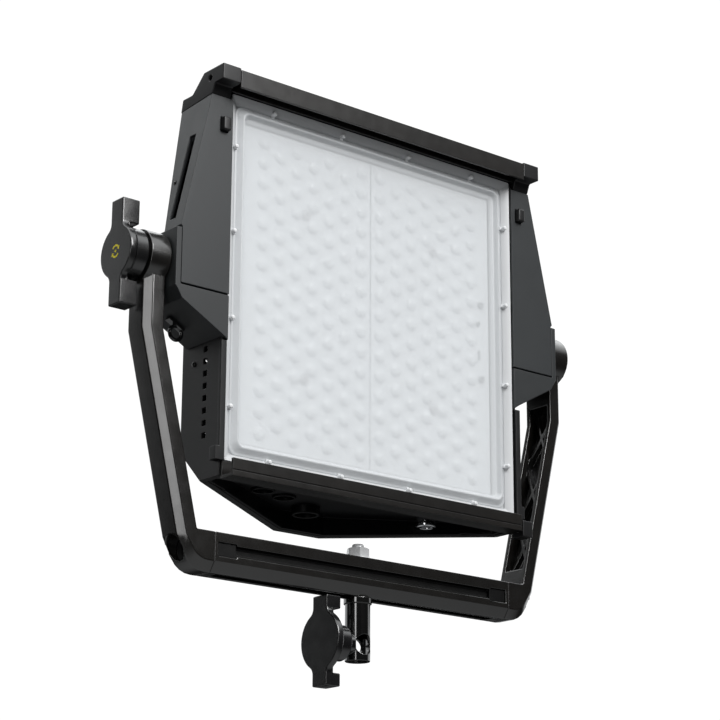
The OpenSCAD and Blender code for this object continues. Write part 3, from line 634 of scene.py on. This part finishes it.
def clips():
    """Sprung clips: a slotted round head in the well and a tongue on the cover's edge, four to a side."""
    out = Shape()
    for q in range(4):
        turn = Matrix.Rotation(q * math.pi / 2, 3, "Y")
        for u in (-108, -36, 36, 108):
            at = turn @ Vector((u, 0, 146.4))
            head = [(0, 1.45), (0.9, 1.5), (1.5, 1.75), (1.85, 2.3), (1.9, 3.0), (1.9, 6.7), (0, 6.7)]
            out.lathe(head, HEAD + at, "Y", 28)
            inward = turn @ Vector((0, 0, -1))
            along = turn @ Vector((1, 0, 0))
            base = HEAD + at
            tongue = []
            for y, reach, half in ((6.88, 3.2, 1.5), (5.9, 3.0, 1.5), (5.5, 2.5, 1.3)):
                tongue.append([base + inward * a + along * b + Vector((0, y, 0))
                               for a, b in ((0, -half), (reach, -half * 0.8), (reach, half * 0.8), (0, half))])
            out.loft(tongue, True, True)
            slit = [base + inward * a + along * b + Vector((0, 1.47, 0)) for a, b in
                    ((-1.1, -0.28), (1.1, -0.28), (1.1, 0.28), (-1.1, 0.28))]
            out.loft([slit, [v + Vector((0, 0.6, 0)) for v in slit]], True, True, slot=1)
    piece("cover_clip_set", out, "head", "clip_metal", ("cover_clips",), (RECESS_SHADE,))


clips()

# Lenslet columns and rows, the lenslets' radius and height, and the depth of their plate behind the face
STEP_X, STEP_Z, FIRST_X, LENS_R = 17.1, 17.5, 10.3, 5.95
LENS_Y, LENS_RAISE = 11.3, 2.6


def lens_half(side):
    """Lens plate with staggered columns of domed lenslets, each in a shallow ring painted greyer as shade."""
    out = Shape()
    seam, edge, plate_t = 0.5, 133, 2
    corner = [(seam, -edge), (edge, -edge), (edge, edge), (seam, edge)]
    out.prism([(side * x, -z) for x, z in corner], LENS_Y, LENS_Y + plate_t, HEAD, "Y", turn=math.pi / 2)
    dome = [(LENS_R, 0.1), (LENS_R * 0.985, -0.35)]
    dome += [(LENS_R * t, -LENS_RAISE * (1 - 0.86 * t ** 3.4)) for t in (0.94, 0.86, 0.74, 0.58, 0.4, 0.2)]
    dome.append((0, -LENS_RAISE))
    foot = [(LENS_R + 0.75, -0.02), (LENS_R + 0.2, -0.12), (LENS_R, 0.1)]
    for c in range(7):
        for r in range(-7, 8 - c % 2):
            at = HEAD + Vector((side * (FIRST_X + c * STEP_X), LENS_Y, (r + (c % 2) / 2) * STEP_Z))
            out.lathe(foot + dome[:3], at, "Y", 24, slot=1)
            out.lathe(dome[2:], at, "Y", 24)
    name = "lens_array_left" if side < 0 else "lens_array_right"
    piece(name + "_domes", out, "head", "lens_plastic", (name,), (LENS_RIM_SHADE,), sharp=50)


lens_half(-1)
lens_half(1)

SCREW_X, SCREW_Z = FIRST_X + 3.43 * STEP_X, 4 * STEP_Z
array = Shape()
for x in (-1, 1):
    for z in (-1, 1):
        at = HEAD + Vector((x * SCREW_X, LENS_Y, z * SCREW_Z))
        cap_screw(array, 3.4, at, "-Y", 0.0, 1.9, recess="slot", shank=(-9.8, 1.9))
        array.lathe([(5.0, 0.0), (4.9, 0.8), (4.2, 0.8), (4.1, 0.0)], at, "-Y", 40, slot=1)
heads = piece("array_screw_heads", array, "head", "zinc_steel", ("array_screws",), (SENSOR,), outward=False)
heads.data.materials[0] = SCREW_WHITE

# Grey posts of the sensors between the lenslets on the right: across, up and radius
marks = Shape()
for x, z, r in ((123.8, 33.4, 3.0), (123.8, -33.4, 3.0), (120.4, 15.7, 2.0), (110.0, -2.0, 0.9),
                (121.2, -9.6, 0.8), (121.2, -12.5, 0.8), (121.2, -15.4, 0.8)):
    marks.lathe([(r, 0), (r, 1.7), (r * 0.8, 2.1), (r * 0.5, 2.1), (r * 0.45, 1.6), (0, 1.6)],
                HEAD + Vector((x, LENS_Y, z)), "-Y", 28)
sensors = piece("sensor_posts", marks, "head", "lens_plastic")
sensors.data.materials[0] = SENSOR


# ---------------------------------------------------------------- underside sockets

TRAY = HEAD.z - 154.4                 # underside of the tray's floor
TRAY_WALL = 3


def socket(out, place, r, hole, drop, depth, pins, pin_r=0.8, blade=False, collar=False):
    """Round keyed socket facing down: a lipped barrel, drop below the tray, with contacts in its bore."""
    at = Vector((place[0], place[1] + HEAD.y, TRAY))
    mouth, top, floor = drop, -(TRAY_WALL + depth - drop), drop - depth
    wall = [(0, top), (r * 0.97, top), (r, top + 0.4), (r, mouth - 1.2), (r - 0.35, mouth - 0.35),
            (r - 0.9, mouth), (hole + 0.7, mouth), (hole + 0.2, mouth - 0.3), (hole, mouth - 0.9), (hole, floor),
            (0, floor)]
    out.lathe(wall, at, "-Z", 64)
    if collar:
        out.lathe([(hole + 0.9, mouth - 0.02), (hole + 1.1, mouth - 0.45), (hole + 1.7, mouth - 0.45),
                   (hole + 1.9, mouth - 0.02)], at, "-Z", 64)
    for k in range(pins):
        a = 2 * math.pi * (k + 0.5) / pins + 0.5
        spot = at + basis("-Z") @ Vector((hole * 0.55 * math.cos(a), hole * 0.55 * math.sin(a), 0))
        if blade:
            flat = [(-2.2, -0.5), (2.2, -0.5), (2.2, 0.5), (-2.2, 0.5)]
            out.prism(flat, floor, floor + depth * 0.72, spot, "-Z", slot=1, turn=a)
        else:
            out.lathe([(pin_r, floor), (pin_r, floor + depth * 0.62), (pin_r * 0.6, floor + depth * 0.72),
                       (0, floor + depth * 0.74)], spot, "-Z", 16, slot=1)
    notch = at + basis("-Z") @ Vector((hole - 0.5, 0, 0))
    out.prism([(-0.6, -0.9), (0.6, -0.9), (0.6, 0.9), (-0.6, 0.9)], floor, mouth - 1.5, notch, "-Z")
    return out


power = socket(Shape(), (-12, 80), 11.9, 9, 7, 16, 3, blade=True)
piece("power_inlet_socket", power, "head", "socket_black", ("power_inlet",), (GOLD,), sharp=40)
dc = socket(Shape(), (91.5, 47), 8.9, 5.6, 8, 14, 4, pin_r=0.75, collar=True)
piece("dc_inlet_socket", dc, "head", "bright_chrome", ("dc_inlet",), (GOLD,), sharp=40)
data_pair = Shape()
for spot in ((-78, 51), (-50, 60)):
    socket(data_pair, spot, 9.9, 8, 2, 12, 5)
piece("data_socket_pair", data_pair, "head", "socket_black", ("data_sockets",), (GOLD,), sharp=40)


# ---------------------------------------------------------------- rear controls and fans

PANEL = 138 + HEAD.y                  # rear panel's inner plane, in millimetres from the origin
ENCODERS = ((-14, 8), (14, 8), (0, -18))     # across and up from the face's middle


def encoder(name, x, z):
    """Soft knob with a fluted grip, a smooth domed cap and a pointer line."""
    at = Vector((x, PANEL, HEAD.z + z))

    def flutes(a, r, h):
        return (r - 0.28 * (0.5 + 0.5 * math.cos(28 * a)) if 4.6 < h < 12.6 and r > 8.8 else r), h

    out = Shape()
    skin = [(0, -7.9), (3, -7.9), (3, 3.2), (9.1, 3.2), (9.45, 3.7), (9.45, 4.5), (9.3, 4.7), (9.3, 8), (9.2, 12.4),
            (9.0, 12.9), (8.5, 13.5), (7.6, 13.85), (6.4, 13.9), (6.1, 13.6), (3, 13.5), (0, 13.45)]
    out.lathe(skin, at, "Y", 224, flutes)
    out.prism([(-0.35, 3.2), (0.35, 3.2), (0.35, 8.3), (-0.35, 8.3)], 13.5, 13.98, at, "Y", slot=1)
    piece(name + "_knob", out, name, "encoder_rubber", (name,), (WHITE_PRINT,), sharp=40)


for i, (x, z) in enumerate(ENCODERS):
    encoder(f"encoder_{i + 1}", x, z)

for i, x in enumerate((-17, 0, 17)):
    button = Shape().lathe([(0, -1.75), (5.9, -1.75), (6, -1.6), (6, -0.3), (5.0, -0.2), (5.0, 3.9), (4.8, 4.5),
                            (4.2, 4.9), (3.4, 4.98), (2.2, 4.7), (0, 4.5)], Vector((x, PANEL, HEAD.z - 42)), "Y", 56)
    piece(f"button_{i + 1}_cap", button, f"button_{i + 1}", "button_plastic", (f"button_{i + 1}",), sharp=50)

low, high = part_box("display_window")
pane = Shape()
mid = (low + high) / 2 / MM
half_x, half_z = (high.x - low.x) / 2 / MM, (high.z - low.z) / 2 / MM
loops = []
for inset, y in ((0, low.y / MM), (0, high.y / MM - 0.5), (0.15, high.y / MM - 0.1), (0.6, high.y / MM)):
    loops.append([Vector((mid.x + a, y, mid.z + b)) for a, b in rounded(half_x - inset, half_z - inset, 1.5, 6)])
pane.loft(loops, True, True)
piece("display_pane", pane, "head", "display_glass", ("display_window",), sharp=30)

prints = Shape()
front = PANEL + 2.5
tick = [(-0.18, -0.7), (0.18, -0.7), (0.18, 0.7), (-0.18, 0.7)]
for x, z in ENCODERS:
    for k in range(11):
        a = math.radians(-60 + 30 * k)
        spot = Vector((x + 11 * math.cos(a), front, HEAD.z + z + 11 * math.sin(a)))
        prints.prism(tick, -0.02, 0.06, spot, "Y", turn=math.pi - a)
on_mark = [(-0.25, -1.5), (0.25, -1.5), (0.25, 1.5), (-0.25, 1.5)]
prints.prism(on_mark, -0.02, 0.06, Vector((0, front, HEAD.z - 61.5)), "Y", turn=math.pi / 2)
off_mark = [(1.6, -0.02), (1.6, 0.06), (1.15, 0.06), (1.15, -0.02)]
prints.lathe(off_mark, Vector((0, front, HEAD.z - 93.5)), "Y", 32)
dial = piece("panel_prints", prints, "head", "panel_plastic")
dial.data.materials[0] = WHITE_PRINT

SLANT = math.atan((140 - 56) / (156 - 30))   # the slanted rear walls rise 84 mm over 126 mm


def rotor(side):
    """Fan rotor with seven swept, twisted blades on a domed hub, turned to its slanted wall."""
    blades, sections, chords = 7, 8, 7
    name = "fan_rotor_left" if side < 0 else "fan_rotor_right"
    out = Shape()
    out.lathe([(0, -18.9), (12.6, -18.9), (13.8, -18.2), (14, -17.4), (14, -9.6), (13.5, -8.5), (12.4, -8.05),
               (4, -8.05), (3.6, -8.4), (0, -8.4)], NONE, "Y", 64)
    for b in range(blades):
        loops = []
        for i in range(sections):
            t = i / (sections - 1)
            r = 12.5 + 21.8 * t
            width = math.radians(38 - 10 * t)
            lag = math.radians(b * 360 / blades + 16 * t * t)
            upper, lower = [], []
            for k in range(chords):
                v = k / (chords - 1)
                a = lag + (v - 0.5) * width
                y = -17.6 + 8.4 * v + 0.9 * math.sin(math.pi * v)
                thick = 0.3 + 0.45 * math.sin(math.pi * min(1, v * 1.15))
                x, z = r * math.cos(a), r * math.sin(a)
                upper.append(Vector((x, y + thick, z)))
                lower.append(Vector((x, y - thick, z)))
            loops.append(upper + lower[::-1])
        out.loft(loops, True, True)
    turn = Matrix.Rotation(-SLANT, 3, "Z")
    place = Vector((93, 56 + 63 * math.tan(SLANT) + HEAD.y, HEAD.z + 20))
    out.verts = [turn @ v + place for v in out.verts]
    if side < 0:
        out.verts = [Vector((-v.x, v.y, v.z)) for v in out.verts]
    piece(name + "_blades", out, name, "fan_plastic", (name,), sharp=45)


rotor(-1)
rotor(1)


# ---------------------------------------------------------------- floor

# Far below the light; its bounce is left to the sky's lower band, so undersides stay dark
FLOOR_Z, FLOOR_HALF = -1.3, 9
corners = [(x * FLOOR_HALF, y * FLOOR_HALF, FLOOR_Z) for x, y in ((-1, -1), (1, -1), (1, 1), (-1, 1))]
floor_mesh = bpy.data.meshes.new("floor")
floor_mesh.from_pydata(corners, [], [(0, 1, 2, 3)])
floor = bpy.data.objects.new("floor", floor_mesh)
floor_mesh.materials.append(finish_of("floor_pale", (0.80, 0.80, 0.80), 0.9, mottle=0.01, bump=0.02))
scene.collection.objects.link(floor)
floor.visible_diffuse = False
floor.visible_glossy = False
